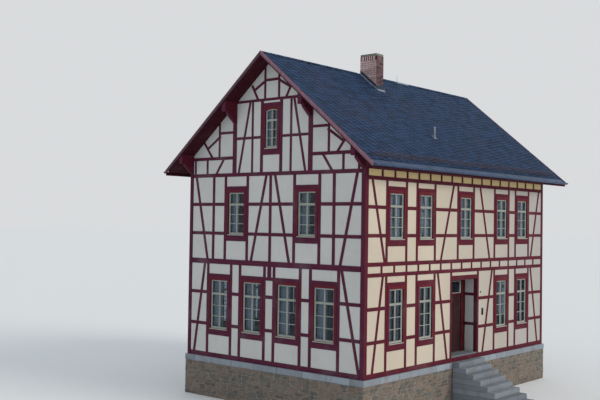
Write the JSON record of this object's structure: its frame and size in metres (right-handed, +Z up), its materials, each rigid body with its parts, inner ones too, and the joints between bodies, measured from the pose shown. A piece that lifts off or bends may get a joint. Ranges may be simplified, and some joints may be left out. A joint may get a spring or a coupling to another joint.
{
  "type": "half timbered house",
  "caption": "Two-storey half timbered house on a stone plinth, with a slate gable roof, a brick chimney and a recessed front door that opens.",
  "frame": {"origin": "centre of the house's footprint box at ground level, steps and eaves included", "axes": "+Z up; +X along the front wall to the right as seen from the street; +Y into the house, so that the front faces -Y and the four-window gable faces -X"},
  "size_m": [12.72, 10.432, 11.891],
  "materials": {
    "rubble_stone": "rough",
    "cap_stone": "dressed",
    "step_stone": "dressed",
    "floor_boards": "worn boards",
    "red_timber": "oxblood paint, weathered",
    "lime_plaster": "smooth lime plaster",
    "casing_paint": "oxblood paint",
    "window_paint": "off-white paint",
    "window_glass": "old flat glass",
    "porch_boards": "stained boards",
    "door_paint": "dark red paint",
    "brass_fittings": "aged",
    "iron_fittings": "blackened",
    "slate": "split slate",
    "zinc": "weathered zinc",
    "red_brick": "fired brick",
    "lead_sheet": "dull grey sheet"
  },
  "bodies": {
    "house": {"plinth": "rubble_stone", "plinth_cap": "cap_stone", "entrance_steps": "step_stone", "porch_floor": "step_stone", "ground_floor": "floor_boards", "upper_floor": "floor_boards", "attic_floor": "floor_boards", "front_posts": "red_timber", "front_beams": "red_timber", "front_braces": "red_timber", "back_posts": "red_timber", "back_beams": "red_timber", "back_braces": "red_timber", "left_gable_posts": "red_timber", "left_gable_beams": "red_timber", "left_gable_braces": "red_timber", "right_gable_posts": "red_timber", "right_gable_beams": "red_timber", "right_gable_braces": "red_timber", "floor_joists": "red_timber", "porch_timbers": "red_timber", "barge_boards": "red_timber", "purlins": "red_timber", "knee_brackets": "red_timber", "roof_deck": "red_timber", "front_infill": "lime_plaster", "back_infill": "lime_plaster", "left_gable_infill": "lime_plaster", "right_gable_infill": "lime_plaster", "porch_panels": "lime_plaster", "window_casings": "casing_paint", "door_frame": "casing_paint", "window_sashes": "window_paint", "window_glass": "window_glass", "porch_ceiling": "porch_boards", "door_hinges": "iron_fittings", "front_slates": "slate", "back_slates": "slate", "ridge_cap": "slate", "gutters": "zinc", "chimney": "red_brick", "chimney_cap": "red_brick", "chimney_flashing": "lead_sheet", "roof_vent": "lead_sheet"},
    "door": {"door_leaf": "door_paint", "door_handle": "brass_fittings", "leaf_hinges": "iron_fittings"}
  },
  "joints": [
    {"name": "door_hinge", "type": "hinge", "parent": "house", "child": "door", "pos_m": [0.4775, -2.512, 2.32], "axis": [0, 0, -1], "range_deg": [0, 90]}
  ]
}
